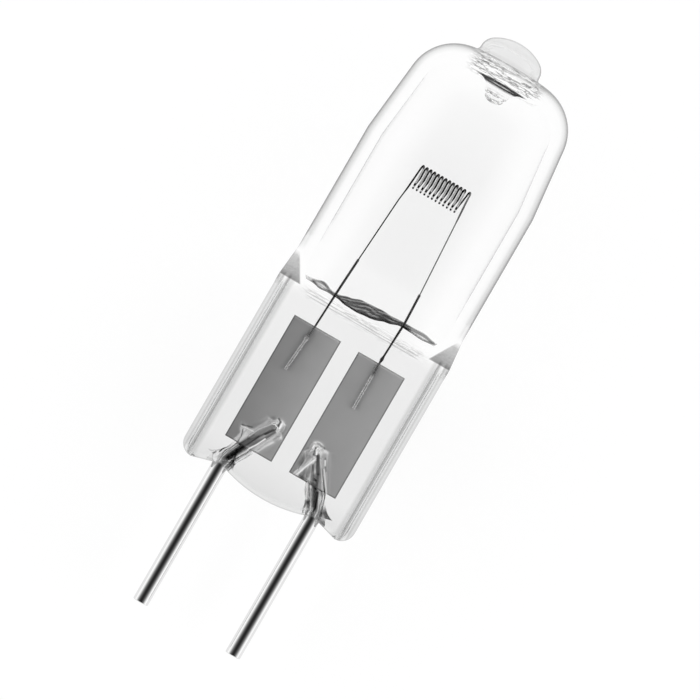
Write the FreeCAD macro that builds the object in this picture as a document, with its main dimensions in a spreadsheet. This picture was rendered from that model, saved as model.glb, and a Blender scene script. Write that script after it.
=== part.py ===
import FreeCAD, Part
import math
import os
import re
import Sketcher
from FreeCAD import Rotation, Vector

# Halogen capsule lamp with two pins, lying on its round bulb as it comes to rest.
# Lengths are millimetres and angles degrees. X runs across the press seal, Y along the lamp
# from the pins to the tip, and Z up. Every piece is drawn with Y counted from the cut ends
# of the pins and Z from the middle plane of the seal, and then laid on the floor.

SIZES = {
    # the round bulb and its wall
    "bulb_radius": 5.66,
    "bulb_wall": 0.95,
    "crown_wall": 1.15,
    # the flanks that draw in towards the round shoulder
    "flank_above_coil": 0.36,
    "flank_draw": 0.46,
    "shoulder_radius": 3.0,
    # the melted-off exhaust tube on the crown, and the drop of quartz that it left inside
    "nub_radius": 2.0,
    "nub_rise": 1.55,
    "nub_skirt": 0.2,
    "nub_edge_radius": 0.95,
    "nub_offset": -0.24,
    "drop_root_radius": 1.15,
    "drop_radius": 0.62,
    "drop_chamfer": 0.3,
    "drop_length": 1.2,
    # the neck between the round bulb and the flat seal
    "neck_height": 1.95,
    "neck_foot_inset": 1.2,
    "cavity_sole": 0.35,
    "cavity_height": 2.4,
    "cavity_slit": 0.3,
    "cavity_inset": 0.6,
    # the press seal: a web between two side beads, with a lobed lower rim
    "seal_spread": 0.19,
    "seal_above_foil": 1.7,
    "web_thickness": 2.4,
    "bead_thickness": 3.0,
    "bead_width": 0.72,
    "bead_rise": 0.32,
    "bead_end_radius": 0.83,
    "rim_bevel": 0.32,
    "corner_radius": 0.86,
    "corner_drop": 0.5,
    "lobe_drop": 0.6,
    # the narrow mouth that the quartz leaves beside each pin
    "mouth_half_width": 1.25,
    "mouth_half_depth": 0.36,
    "mouth_top_half_width": 0.62,
    "mouth_length": 0.9,
    # the pins, whose roots lean towards each other inside the seal
    "pin_length": 9.55,
    "pin_spacing": 6.35,
    "pin_radius": 0.5,
    "root_lean": 28.0,
    "root_bend": 2.0,
    "root_inset": 1.75,
    "root_rise": 3.47,
    "root_chamfer": 0.28,
    "root_end_radius": 0.3,
    # the molybdenum foils
    "foil_width": 3.2,
    "foil_length": 8.3,
    "foil_thickness": 0.05,
    "foil_lap": 1.87,
    "foil_offset": 2.2,
    # the tungsten wire: its coil and its two legs
    "wire_radius": 0.055,
    "coil_turns": 12,
    "coil_pitch": 0.259,
    "coil_above_neck": 6.35,
    "coil_height": 1.59,
    "coil_headroom": 5.21,
    "coil_half_depth": 0.3,
    "leg_neck_rise": 1.15,
    "leg_straighten": 0.5,
    "left_foot": 2.66,
    "left_knee": 2.40,
    "left_neck": 2.27,
    "left_kink": 1.73,
    "left_kink_drop": 1.78,
    "right_foot": 2.03,
    "right_knee": 2.02,
    "right_neck": 2.13,
    "right_kink": 1.70,
    "right_kink_drop": 2.2,
    "weld_length": 3.1,
    "weld_gap": 0.02,
    # the wire that is wound over each leg where it passes through the seal
    "sleeve_radius": 0.1,
    "sleeve_rise": 1.1,
}

# how far each place lies from the pin ends, each counted from the one before it
STATIONS = {
    "root_top": "pin_length + root_rise",
    "foil_bottom": "root_top - foil_lap",
    "foil_top": "foil_bottom + foil_length",
    "seal_top": "foil_top + seal_above_foil",
    "cavity_floor": "seal_top + cavity_sole",
    "cavity_top": "cavity_floor + cavity_height",
    "neck_top": "seal_top + neck_height",
    "coil_bottom": "neck_top + coil_above_neck",
    "coil_top": "coil_bottom + coil_height",
    "flank_station": "coil_top + flank_above_coil",
    "drop_tip": "coil_top + coil_headroom",
    "hollow_crown": "drop_tip + drop_length",
    "crown": "hollow_crown + crown_wall",
    "overall_length": "crown + nub_rise",
    "corner_station": "pin_length - corner_drop",
    "lobe_station": "pin_length - lobe_drop",
}

# how many ovals the neck's slope is drawn through, and how fine the wires' sections and turns are
NECK_SECTIONS = 5
FILAMENT_SIDES, WINDING_SIDES, TURN_CHORDS = 6, 8, 5

doc = FreeCAD.newDocument("halogen_capsule")
sheet = doc.addObject("Spreadsheet::Sheet", "Sizes")
for row, (name, size) in enumerate(SIZES.items(), start=1):
    sheet.set(f"A{row}", name)
    sheet.set(f"B{row}", str(size))
    sheet.setAlias(f"B{row}", name)
doc.recompute()


def cells(text):
    """The same expression with every station worked out and every size named as a cell of the sheet."""

    def cell(word):
        name = word[0]
        if name in STATIONS:
            return f"({cells(STATIONS[name])})"
        return f"Sizes.{name}" if name in SIZES else name

    return re.sub(r"[a-z][a-z_]*", cell, text)


def value(text):
    """The number that an expression on the sizes comes to."""
    if isinstance(text, (int, float)):
        return float(text)
    number = sheet.evalExpression(cells(text))
    return float(getattr(number, "Value", number))


def tie(item, **properties):
    """Bind properties of an object to expressions on the sizes."""
    for name, text in properties.items():
        item.setExpression(name.replace("__", "."), cells(text))


def lay(item, across="0", along="0", up="0"):
    """Place an object, given where it is in the lamp's own frame, with the bulb on the floor."""
    tie(
        item,
        Placement__Base__x=across,
        Placement__Base__y=f"{along} - overall_length / 2",
        Placement__Base__z=f"{up} + bulb_radius",
    )
    return item


def part_object(kind, name, **properties):
    """A part primitive or boolean with its sizes bound."""
    item = doc.addObject(f"Part::{kind}", name)
    tie(item, **properties)
    return item


def combine(kind, name, first, *others):
    """Fuse, cut or intersect objects one after another."""
    whole = first
    for number, other in enumerate(others, start=1):
        step = doc.addObject(f"Part::{kind}", name if number == len(others) else f"{name}_{number}")
        step.Base, step.Tool = whole, other
        whole = step
    return whole


class Outline:
    """A sketch on a plane of its body, whose corners, arcs and radii are tied to the sizes."""

    def __init__(self, body, name, plane="XY_Plane", **offset):
        self.sketch = body.newObject("Sketcher::SketchObject", name)
        origin_plane = next(item for item in body.Origin.OriginFeatures if item.Role == plane)
        self.sketch.AttachmentSupport = [(origin_plane, "")]
        self.sketch.MapMode = "FlatFace"
        tie(self.sketch, **{f"AttachmentOffset__Base__{axis}": text for axis, text in offset.items()})

    def line(self, start, end):
        ends = [Vector(value(x), value(y), 0) for x, y in (start, end)]
        return self.sketch.addGeometry(Part.LineSegment(*ends), False)

    def circle(self, centre, radius):
        middle = Vector(value(centre[0]), value(centre[1]), 0)
        edge = self.sketch.addGeometry(Part.Circle(middle, Vector(0, 0, 1), value(radius)), False)
        self.fix(edge, 3, *centre)
        self.size(edge, radius)

    def arc(self, centre, radius, start, end):
        """An arc, counterclockwise from one angle in degrees to the other."""
        middle = Vector(value(centre[0]), value(centre[1]), 0)
        circle = Part.Circle(middle, Vector(0, 0, 1), value(radius))
        turn = (math.radians(start), math.radians(end))
        return self.sketch.addGeometry(Part.ArcOfCircle(circle, *turn), False)

    def join(self, kind, *places):
        self.sketch.addConstraint(Sketcher.Constraint(kind, *places))

    def bound(self, constraint, text):
        number = self.sketch.addConstraint(constraint)
        self.sketch.setExpression(f"Constraints[{number}]", cells(text))

    def fix(self, edge, end, across=None, along=None):
        """Hold a point of an edge at a place: 1 is its start, 2 its end and 3 its centre."""
        for kind, text in (("DistanceX", across), ("DistanceY", along)):
            if text is not None:
                self.bound(Sketcher.Constraint(kind, -1, 1, edge, end, value(text)), text)

    def size(self, edge, radius):
        self.bound(Sketcher.Constraint("Radius", edge, value(radius)), radius)

    def close_on_axis(self, floor, axis):
        """Join the outline's first edge to its last, which runs down the axis."""
        self.join("PointOnObject", floor, 1, -2)
        self.join("Horizontal", floor)
        self.join("PointOnObject", axis, 1, -2)
        self.join("Coincident", axis, 2, floor, 1)

    def revolve(self, body, name):
        """Turn the outline about the upright axis of its sketch."""
        turned = body.newObject("PartDesign::Revolution", name)
        turned.Profile = self.sketch
        turned.ReferenceAxis = (self.sketch, ["V_Axis"])
        turned.Angle = 360


def new_body(name):
    return lay(doc.addObject("PartDesign::Body", name))


def bulb_side(outline, skin, touch):
    """The floor, side and tapering flank of the bulb's half section, a skin inside the outer face."""
    radius = f"bulb_radius - {skin}"
    floor = outline.line((0, "neck_top"), (radius, "neck_top"))
    side = outline.line((radius, "neck_top"), (radius, "flank_station"))
    flank = outline.line((radius, "flank_station"), touch)
    outline.fix(floor, 1, along="neck_top")
    outline.join("Coincident", floor, 2, side, 1)
    outline.fix(side, 1, across=radius)
    outline.join("Vertical", side)
    outline.fix(side, 2, along="flank_station")
    outline.join("Coincident", side, 2, flank, 1)
    return floor, flank


def bulb():
    """The round bulb with its crown, and the nub where the exhaust tube was melted off."""
    body = new_body("bulb")
    section = Outline(body, "bulb_section")
    centre = ("bulb_radius - flank_draw - shoulder_radius", "crown - shoulder_radius")
    # the flank touches the shoulder's arc
    radius = value("shoulder_radius")
    across, down = value("shoulder_radius + flank_draw"), value(f"{centre[1]} - flank_station")
    touch = math.acos(radius / math.hypot(across, down)) - math.atan2(down, across)
    touch_place = (value(centre[0]) + radius * math.cos(touch), value(centre[1]) + radius * math.sin(touch))
    floor, flank = bulb_side(section, "0", touch_place)
    shoulder = section.arc(centre, "shoulder_radius", math.degrees(touch), 90)
    top = section.line((centre[0], "crown"), (0, "crown"))
    axis = section.line((0, "crown"), (0, "neck_top"))
    section.join("Tangent", flank, 2, shoulder, 1)
    section.size(shoulder, "shoulder_radius")
    section.fix(shoulder, 3, *centre)
    section.join("Tangent", shoulder, 2, top, 1)
    section.join("Coincident", top, 2, axis, 1)
    section.close_on_axis(floor, axis)
    section.revolve(body, "bulb_turned")

    # the nub's top is one arc that meets the arc of its edge in a tangent
    nub = Outline(body, "nub_section", x="nub_offset")
    base = "crown - crown_wall / 2"
    skirt = "crown + nub_skirt"
    inset, edge = value("nub_radius - nub_edge_radius"), value("nub_edge_radius")
    rise = value("nub_rise - nub_skirt")
    top_radius = (inset**2 + rise**2 - edge**2) / (2 * (rise - edge))
    meet = math.degrees(math.atan2(top_radius - rise, inset))
    floor = nub.line((0, base), ("nub_radius", base))
    side = nub.line(("nub_radius", base), ("nub_radius", skirt))
    corner = nub.arc((inset, skirt), "nub_edge_radius", 0, meet)
    top = nub.arc((0, value("overall_length") - top_radius), top_radius, meet, 90)
    axis = nub.line((0, "overall_length"), (0, base))
    nub.fix(floor, 1, along=base)
    nub.join("Coincident", floor, 2, side, 1)
    nub.fix(side, 1, across="nub_radius")
    nub.join("Vertical", side)
    nub.join("Tangent", side, 2, corner, 1)
    nub.size(corner, "nub_edge_radius")
    nub.fix(corner, 3, along=skirt)
    nub.join("Tangent", corner, 2, top, 1)
    nub.join("PointOnObject", top, 3, -2)
    nub.fix(top, 2, along="overall_length")
    nub.join("Coincident", top, 2, axis, 1)
    nub.close_on_axis(floor, axis)
    nub.revolve(body, "nub_turned")
    return body


def bulb_hollow():
    """The sealed space inside the round bulb, with a drop of quartz hanging from its crown.

    The wall keeps its thickness round the shoulder, which is drawn as two cones here.
    """
    body = new_body("bulb_hollow")
    section = Outline(body, "hollow_section")
    centre_x = "bulb_radius - flank_draw - shoulder_radius"
    radius = "(shoulder_radius - bulb_wall)"
    corners = [
        (f"{centre_x} + {radius} * cos({turn})", f"hollow_crown - {radius} + {radius} * sin({turn})")
        for turn in ("0", "45")
    ]
    corners += [
        (centre_x, "hollow_crown"),
        ("drop_root_radius", "hollow_crown"),
        ("drop_radius", "drop_tip + drop_chamfer"),
        ("drop_radius - drop_chamfer", "drop_tip"),
        ("0", "drop_tip"),
    ]
    floor, last = bulb_side(section, "bulb_wall", corners[0])
    for number, corner in enumerate(corners):
        section.fix(last, 2, *corner)
        following = corners[number + 1] if number + 1 < len(corners) else (0, "neck_top")
        edge = section.line(corner, following)
        section.join("Coincident", last, 2, edge, 1)
        last = edge
    section.join("PointOnObject", last, 2, -2)
    section.join("Coincident", last, 2, floor, 1)
    section.join("Horizontal", floor)
    section.revolve(body, "hollow_turned")
    return body


def oval_loft(name, ovals):
    """A loft through upright ovals, each given by its half width, half depth and place."""
    wires = []
    for half_width, half_depth, across, along in ovals:
        oval = Part.Ellipse(Vector(0, 0, 0), half_width, half_depth)
        turns = [step * math.pi / 2 for step in range(5)]
        quarters = [Part.ArcOfEllipse(oval, start, end) for start, end in zip(turns, turns[1:])]
        wire = Part.Wire([quarter.toShape() for quarter in quarters])
        wire.Placement = FreeCAD.Placement(Vector(across, along, 0), Rotation(Vector(1, 0, 0), 90))
        wires.append(wire)
    loft = doc.addObject("Part::Feature", name)
    loft.Shape = Part.makeLoft(wires, True, True)
    return lay(loft)


def neck():
    """The S-shaped slope from the flat seal up to the round bulb, between the seal's flat sides."""
    foot = ("bulb_radius + seal_spread - neck_foot_inset", "web_thickness / 2", "seal_top")
    low = [value(text) for text in foot]
    high = [value(text) for text in ("bulb_radius", "bulb_radius", "neck_top")]
    ovals = []
    for step in range(NECK_SECTIONS):
        share = step / (NECK_SECTIONS - 1)
        slope = share * share * (3 - 2 * share)
        width, depth, along = (
            start + (end - start) * part for start, end, part in zip(low, high, (share, slope, share))
        )
        ovals.append((width, depth, 0, along))
    slope = oval_loft("neck_slope", ovals)

    # the flats run on up the sides as far as the bulb's round allows
    round_side = part_object(
        "Cone",
        "neck_round",
        Radius1="bulb_radius + seal_spread",
        Radius2="bulb_radius",
        Height="neck_top - seal_top",
    )
    round_side.Placement.Rotation = Rotation(Vector(1, 0, 0), -90)
    lay(round_side, along="seal_top")
    slab = part_object(
        "Box",
        "neck_slab",
        Length="2 * (bulb_radius + seal_spread)",
        Width="neck_top - seal_top",
        Height="web_thickness",
    )
    lay(slab, "-(bulb_radius + seal_spread)", "seal_top", "-web_thickness / 2")
    return slope, combine("Common", "neck_flats", round_side, slab)


def neck_hollow():
    """The wedge-shaped end of the sealed space, which narrows to a slit above the seal."""
    tube = part_object(
        "Cylinder", "hollow_tube", Radius="bulb_radius - bulb_wall", Height="cavity_top - cavity_floor"
    )
    tube.Placement.Rotation = Rotation(Vector(1, 0, 0), -90)
    lay(tube, along="cavity_floor")
    half = "(bulb_radius - bulb_wall)"
    wedge = part_object(
        "Wedge",
        "hollow_wedge",
        Ymin="0",
        Ymax="cavity_top - cavity_floor",
        Xmin=f"cavity_inset - {half}",
        Xmax=f"{half} - cavity_inset",
        Zmin="-cavity_slit",
        Zmax="cavity_slit",
        X2min=f"-{half}",
        X2max=half,
        Z2min=f"-{half}",
        Z2max=half,
    )
    lay(wedge, along="cavity_floor")
    return combine("Common", "hollow_neck", tube, wedge)


def seal_rim(plate):
    """The seal's outline: straight sides, bead ends at the top, and a lower rim of three lobes."""
    half = "bulb_radius + seal_spread"
    top = "seal_top + bead_rise"
    corner_y = "corner_station + corner_radius"
    end_y = f"{top} - bead_end_radius"
    # the rim runs straight from the corner's arc up to the pin's exit
    corner_x, pin_x, exit_y = value(f"{half} - corner_radius"), value("pin_spacing / 2"), value("pin_length")
    across, down = corner_x - pin_x, value(corner_y) - exit_y
    angle = math.atan2(-down, -across) + math.acos(value("corner_radius") / math.hypot(across, down))
    ends = {}
    for side, sign in ((1, ""), (-1, "-")):
        def mirrored(start, end):
            return (start, end) if side > 0 else (180 - end, 180 - start)

        first, last = (1, 2) if side > 0 else (2, 1)
        x_half = f"{sign}({half})"
        upright = plate.line((x_half, corner_y), (x_half, end_y))
        bead_end = plate.arc((f"{sign}({half} - bead_end_radius)", end_y), "bead_end_radius", *mirrored(0, 90))
        corner_centre = (f"{sign}({half} - corner_radius)", corner_y)
        corner = plate.arc(corner_centre, "corner_radius", *mirrored(math.degrees(angle), 0))
        touch_x = corner_x + value("corner_radius") * math.cos(angle)
        touch_y = value(corner_y) + value("corner_radius") * math.sin(angle)
        slope = plate.line((side * touch_x, touch_y), (f"{sign}pin_spacing / 2", "pin_length"))
        plate.join("Vertical", upright)
        plate.fix(upright, 1, across=x_half)
        plate.join("Tangent", upright, 2, bead_end, first)
        plate.size(bead_end, "bead_end_radius")
        plate.join("Tangent", upright, 1, corner, last)
        plate.size(corner, "corner_radius")
        plate.fix(corner, 3, along=corner_y)
        plate.join("Tangent", corner, first, slope, 1)
        plate.fix(slope, 2, f"{sign}pin_spacing / 2", "pin_length")
        ends[side] = (bead_end, last, slope)
    ridge = plate.line((f"{half} - bead_end_radius", top), (f"-({half} - bead_end_radius)", top))
    plate.fix(ridge, 1, along=top)
    plate.join("Tangent", ridge, 1, *ends[1][:2])
    plate.join("Tangent", ridge, 2, *ends[-1][:2])
    # the middle lobe is one arc through both pin exits
    rise = value("lobe_drop")
    lobe_radius = (pin_x**2 + rise**2) / (2 * rise)
    spread = math.degrees(math.asin(pin_x / lobe_radius))
    lobe = plate.arc((0, value("lobe_station") + lobe_radius), lobe_radius, 270 - spread, 270 + spread)
    plate.join("Coincident", lobe, 1, ends[-1][2], 2)
    plate.join("Coincident", lobe, 2, ends[1][2], 2)
    plate.fix(lobe, 3, along="lobe_station + ((pin_spacing / 2)^2 + lobe_drop^2) / (2 * lobe_drop)")


def seal():
    """The press seal: a plate with softened edges all round and a flat bed pressed into each face."""
    body = new_body("seal")
    plate = Outline(body, "seal_outline")
    seal_rim(plate)
    slab = body.newObject("PartDesign::Pad", "seal_slab")
    slab.Profile = plate.sketch
    slab.SideType = "Symmetric"
    tie(slab, Length="bead_thickness")
    doc.recompute()

    # the edges that run round the two faces, and none of those that cross the rim
    edges = [
        f"Edge{number}"
        for number, edge in enumerate(slab.Shape.Edges, start=1)
        if edge.BoundBox.ZLength < value("bead_thickness") / 2
    ]
    bevelled = body.newObject("PartDesign::Chamfer", "seal_bevelled")
    bevelled.Base = (slab, edges)
    tie(bevelled, Size="rim_bevel")

    # the jaws press a bed between the beads, from the neck to below the rim
    for name, sign in (("front", ""), ("back", "-")):
        bed = Outline(body, f"bed_{name}_outline", z=f"{sign}web_thickness / 2")
        bed_x, below = "bulb_radius + seal_spread - bead_width", "lobe_station - 1"
        corners = [(bed_x, below), (bed_x, "neck_top"), (f"-({bed_x})", "neck_top"), (f"-({bed_x})", below)]
        sides = [bed.line(a, b) for a, b in zip(corners, corners[1:] + corners[:1])]
        for number, edge in enumerate(sides):
            bed.join("Coincident", edge, 2, sides[(number + 1) % 4], 1)
            bed.fix(edge, 1, *corners[number])
        press = body.newObject("PartDesign::Pocket", f"bed_{name}")
        press.Profile = bed.sketch
        press.Reversed = name == "front"
        tie(press, Length="bead_thickness")
    return body


def pin_mouth(name, sign):
    """The flattened funnel that the quartz leaves beside a pin where it comes out."""
    depth, pin_x = value("mouth_half_depth"), value(f"{sign}pin_spacing / 2")
    start, end = value("pin_length - rim_bevel"), value("pin_length + mouth_length")
    low = (value("mouth_half_width"), depth, pin_x, start)
    high = (value("mouth_top_half_width"), depth, pin_x, end)
    return oval_loft(name, [low, high])


def bent_rod(name, sign, radius):
    """A round rod along a pin: straight to the seal, then leaning inwards to a round end."""
    body = new_body(name)
    side = -1 if sign else 1
    lean, bend = value("root_lean"), value("root_bend")
    pin_x, end_x, end_y = f"{sign}pin_spacing / 2", f"{sign}(pin_spacing / 2 - root_inset)", "root_top"
    bend_y = "root_top - root_inset / tan(root_lean) - root_bend * tan(root_lean / 2)"
    centre_x = value(pin_x) - side * bend
    route = Outline(body, f"{name}_route")
    straight = route.line((pin_x, 0), (pin_x, bend_y))
    turn, first, last = ((0, lean), 1, 2) if side > 0 else ((180 - lean, 180), 2, 1)
    curve = route.arc((centre_x, bend_y), "root_bend", *turn)
    root_x = centre_x + side * bend * math.cos(math.radians(lean))
    root_y = value(bend_y) + bend * math.sin(math.radians(lean))
    root = route.line((root_x, root_y), (end_x, end_y))
    route.fix(straight, 1, pin_x, "0")
    route.fix(straight, 2, along=bend_y)
    route.join("Vertical", straight)
    route.join("Tangent", straight, 2, curve, first)
    route.size(curve, "root_bend")
    route.join("Tangent", curve, last, root, 1)
    route.fix(root, 2, end_x, end_y)

    section = Outline(body, f"{name}_section", plane="XZ_Plane")
    section.circle((pin_x, "0"), radius)
    rod = body.newObject("PartDesign::AdditivePipe", f"{name}_rod")
    rod.Profile = section.sketch
    rod.Spine = (route.sketch, ["Edge1", "Edge2", "Edge3"])
    doc.recompute()
    # the cropped end narrows along the root
    end = body.newObject("PartDesign::AdditiveCone", f"{name}_end")
    along_root = Vector(-side * math.sin(math.radians(lean)), math.cos(math.radians(lean)), 0)
    end.Placement.Rotation = Rotation(Vector(0, 0, 1), along_root)
    tie(end, Radius1=radius, Radius2=f"{radius} - pin_radius + root_end_radius", Height="root_chamfer",
        Placement__Base__x=end_x, Placement__Base__y=end_y)
    return body


def foil(name, sign, pin):
    """A molybdenum foil: a flat sheet that is raised over the root of the pin it is welded to."""
    low_x = f"{sign}foil_offset - foil_width / 2"
    sheet_part = part_object(
        "Box", f"{name}_sheet", Length="foil_width", Width="foil_length", Height="foil_thickness"
    )
    lay(sheet_part, low_x, "foil_bottom", "-foil_thickness / 2")
    cover = bent_rod(f"{name}_cover", sign, "pin_radius + foil_thickness")
    front = part_object(
        "Box", f"{name}_front", Length="foil_width", Width="foil_length", Height="2 * pin_radius"
    )
    lay(front, low_x, "foil_bottom", "-foil_thickness / 2")
    saddle = combine("Common", f"{name}_saddle", cover, front)
    raised = combine("Fuse", f"{name}_raised", sheet_part, saddle)
    return combine("Cut", name, raised, pin)


def swept(points, radius, sides):
    """A wire along straight runs with mitred corners, as wide as a round one of that radius."""
    heading = (points[1] - points[0]).normalize()
    across = heading.cross(Vector(0, 0, 1)).normalize()
    upward = across.cross(heading)
    step = 2 * math.pi / sides
    reach = radius * math.sqrt(step / math.sin(step))
    ring = [
        points[0] + across * (reach * math.cos(step * side)) + upward * (reach * math.sin(step * side))
        for side in range(sides)
    ]
    section = Part.makePolygon(ring + ring[:1])
    right_corners = 1
    solid = Part.makePolygon(points).makePipeShell([section], True, False, right_corners)
    return solid if solid.ShapeType == "Solid" else Part.makeSolid(solid)


def leg_points(side):
    """The places that a leg passes, from its foot on the foil up to the coil."""
    on_foil = value("foil_thickness / 2 + sleeve_radius + weld_gap")
    foot_y = value("foil_top - weld_length")
    beside = value("coil_half_depth") * (1 if side == "left" else -1)
    sign = -1 if side == "left" else 1
    coil_x = value("coil_pitch * (coil_turns + 0.5) / 2")
    straight_y = value("coil_top - coil_half_depth - leg_straighten")
    return [
        Vector(sign * value(f"{side}_foot"), foot_y, on_foil),
        Vector(sign * value(f"{side}_knee"), value("foil_top"), on_foil),
        Vector(sign * value(f"{side}_neck"), value("seal_top + leg_neck_rise"), on_foil),
        Vector(sign * value(f"{side}_kink"), value(f"coil_top - {side}_kink_drop"), beside),
        Vector(sign * coil_x, straight_y, beside),
    ]


def coil_points():
    """The coil's flat turns: upright strands in front and behind, joined by half rounds."""
    turns = round(value("coil_turns"))
    pitch, depth = value("coil_pitch"), value("coil_half_depth")
    high, low = value("coil_top - coil_half_depth"), value("coil_bottom + coil_half_depth")
    points = []

    def half_round(x, y, side):
        """Over the top from front to behind, or under the bottom from behind to front."""
        for step in range(TURN_CHORDS + 1):
            angle = math.pi * step / TURN_CHORDS
            across = x + pitch / 2 * step / TURN_CHORDS
            along, up = y + side * depth * math.sin(angle), side * depth * math.cos(angle)
            points.append(Vector(across, along, up))

    for turn in range(turns + 1):
        x = pitch * (turn - (turns + 0.5) / 2)
        half_round(x, high, 1)
        if turn < turns:
            half_round(x + pitch / 2, low, -1)
    return points


def wire_piece(name, shape):
    """A piece that is bent from wire, as a feature of the document."""
    piece = doc.addObject("Part::Feature", name)
    piece.Shape = shape
    return lay(piece)


def filament():
    """One tungsten wire: up the left leg, through the coil and down the right leg."""
    run = leg_points("left") + coil_points() + leg_points("right")[::-1]
    return wire_piece("filament", swept(run, value("wire_radius"), FILAMENT_SIDES))


def leg_winding(side):
    """The round space that a leg and its winding fill, from the foot to above the neck."""
    top, run = value("neck_top + sleeve_rise"), []
    for start, end in zip(leg_points(side), leg_points(side)[1:]):
        run.append(start)
        if end.y > top:
            run.append(start + (end - start) * ((top - start.y) / (end.y - start.y)))
            break
    return wire_piece(f"leg_winding_{side}", swept(run, value("sleeve_radius"), WINDING_SIDES))


def envelope(inner):
    """The fused quartz: bulb, neck and seal in one piece, hollow, and pressed round what it holds."""
    outside = combine("Fuse", "quartz_outside", seal(), *neck(), bulb())
    hollows = [bulb_hollow(), neck_hollow(), pin_mouth("mouth_left", "-"), pin_mouth("mouth_right", "")]
    return combine("Cut", "quartz_envelope", outside, *hollows, *inner)


def build():
    """Every piece of the lamp, by the name of its file."""
    wire = filament()
    pieces = {"filament": wire}
    held = []
    for side, sign in (("left", "-"), ("right", "")):
        winding = leg_winding(side)
        pin = bent_rod(f"pin_{side}", sign, "pin_radius")
        sheet_piece = foil(f"foil_{side}", sign, pin)
        held += [winding, pin, sheet_piece]
        pieces[f"leg_sleeve_{side}"] = combine("Cut", f"leg_sleeve_{side}", winding, wire)
        pieces[f"pin_{side}"] = pin
        pieces[f"foil_{side}"] = sheet_piece
    pieces["quartz_envelope"] = envelope(held)
    doc.recompute()
    return pieces


def check_and_write(pieces):
    """Stop if anything failed to build, and write each piece to its own file."""
    for item in doc.Objects:
        if {"Invalid", "Error"} & set(item.State):
            raise RuntimeError(f"{item.Name} was not built: {item.State}")
    os.makedirs("parts", exist_ok=True)
    for name, piece in pieces.items():
        piece.Label = name
        shape = piece.Shape
        if shape.isNull() or not shape.isValid() or not shape.Solids:
            raise RuntimeError(f"{name} has no valid solid")
        shape.exportStep(f"parts/{name}.step")
        box = shape.BoundBox
        print(f"{name}: {len(shape.Solids)} solid, {shape.Volume:.3f} mm3, {box.XMin:.2f}..{box.XMax:.2f},"
              f" {box.YMin:.2f}..{box.YMax:.2f}, {box.ZMin:.2f}..{box.ZMax:.2f}")


check_and_write(build())
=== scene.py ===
import math

import bpy
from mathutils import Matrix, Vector, noise


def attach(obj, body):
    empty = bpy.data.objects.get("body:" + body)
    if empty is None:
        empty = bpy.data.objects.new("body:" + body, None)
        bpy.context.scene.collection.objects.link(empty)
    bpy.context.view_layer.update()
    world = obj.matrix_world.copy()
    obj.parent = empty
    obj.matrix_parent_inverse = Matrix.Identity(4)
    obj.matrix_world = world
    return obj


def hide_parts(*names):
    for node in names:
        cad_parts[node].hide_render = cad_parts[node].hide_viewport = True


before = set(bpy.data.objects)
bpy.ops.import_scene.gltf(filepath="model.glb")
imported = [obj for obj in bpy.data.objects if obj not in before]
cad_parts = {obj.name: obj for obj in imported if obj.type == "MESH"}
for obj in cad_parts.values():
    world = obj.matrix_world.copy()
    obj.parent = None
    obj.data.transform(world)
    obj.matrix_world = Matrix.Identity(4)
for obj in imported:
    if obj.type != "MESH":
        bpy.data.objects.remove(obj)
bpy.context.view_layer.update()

# Halogen capsule lamp, lying on its round bulb. X runs across the press seal, Y along the lamp and
# Z up. Sizes are millimetres: a station is counted along the lamp from the cut ends of the pins,
# and a height from the middle plane of the seal.
MM = 0.001
MIDDLE_STATION = 20.075
MIDDLE_HEIGHT = 5.66


def at(across, station, height=0.0):
    """A place on the lamp, in the frame's metres."""
    return Vector((across, station - MIDDLE_STATION, height + MIDDLE_HEIGHT)) * MM


def station_of(spot):
    """How far along the lamp a place in the frame is."""
    return spot.y / MM + MIDDLE_STATION


def mix(a, b, share):
    """The number that lies a share of the way from a to b."""
    return a + (b - a) * share


def portion(x, start=0.0, end=1.0):
    """How far x has come from start to end, kept between 0 and 1."""
    return min(max((x - start) / (end - start), 0.0), 1.0)


def ramp(x, start, end):
    """0 before start, 1 after end, and a smooth S between them."""
    share = portion(x, start, end)
    return share * share * (3 - 2 * share)


def between(x, start, full, left, end):
    """0 before start, 1 between full and left, and 0 after end."""
    return ramp(x, start, full) * ramp(x, end, left)


def bell(x, middle, width):
    """1 at the middle, and falling smoothly to both sides."""
    return math.exp(-(((x - middle) / width) ** 2))


def along_line(points, x):
    """The height of a smooth line through a few points."""
    if x <= points[0][0]:
        return points[0][1]
    for (x0, y0), (x1, y1) in zip(points, points[1:]):
        if x <= x1:
            return mix(y0, y1, ramp(x, x0, x1))
    return points[-1][1]


# The camera

PICTURE_TILT = math.radians(30.1)
PICTURE_CENTRE = (0.107, 19.278)
PICTURE_WIDTH = 41.74
LENS, SENSOR = 250.0, 36.0


def add_camera():
    """Straight above, turned so that the lamp leans in the picture, with a long lens."""
    distance = PICTURE_WIDTH * LENS / SENSOR
    place = at(*PICTURE_CENTRE, distance)
    bpy.ops.object.camera_add(location=place, rotation=(0, 0, PICTURE_TILT))
    camera = bpy.context.object
    camera.data.lens = LENS
    camera.data.sensor_width = SENSOR
    camera.data.clip_start, camera.data.clip_end = 0.01, 20
    bpy.context.scene.camera = camera


# Shader maths


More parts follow.
